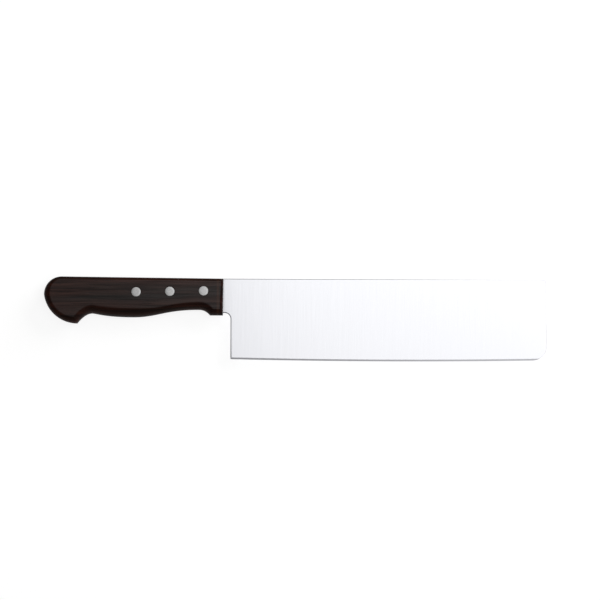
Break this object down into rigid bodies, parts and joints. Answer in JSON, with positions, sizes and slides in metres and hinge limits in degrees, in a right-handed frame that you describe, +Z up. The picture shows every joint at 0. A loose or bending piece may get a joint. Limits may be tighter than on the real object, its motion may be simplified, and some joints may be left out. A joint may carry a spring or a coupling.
{
  "type": "cabbage knife",
  "caption": "Tall, nearly straight-edged kitchen knife for slicing and shredding cabbage, with a full tang between riveted dark wooden scales and a hooked butt.",
  "frame": {"origin": "under the middle of the knife's box as it lies on its left side, on the surface it lies on", "axes": "+X along the knife towards the tip, +Y towards the spine, +Z up through its thickness, out of its right side"},
  "size_m": [0.3812, 0.0634, 0.018],
  "materials": {
    "steel": "finely ground and polished stainless steel",
    "wood": "dark brown close-grained hardwood, satin sealed",
    "rivet": "ground flush with the wood, dull grey"
  },
  "bodies": {
    "root": {"blade": "steel", "right_scale": "wood", "left_scale": "wood", "front_rivet_sleeve": "rivet", "front_rivet_post": "rivet", "middle_rivet_sleeve": "rivet", "middle_rivet_post": "rivet", "rear_rivet_sleeve": "rivet", "rear_rivet_post": "rivet"}
  },
  "joints": []
}
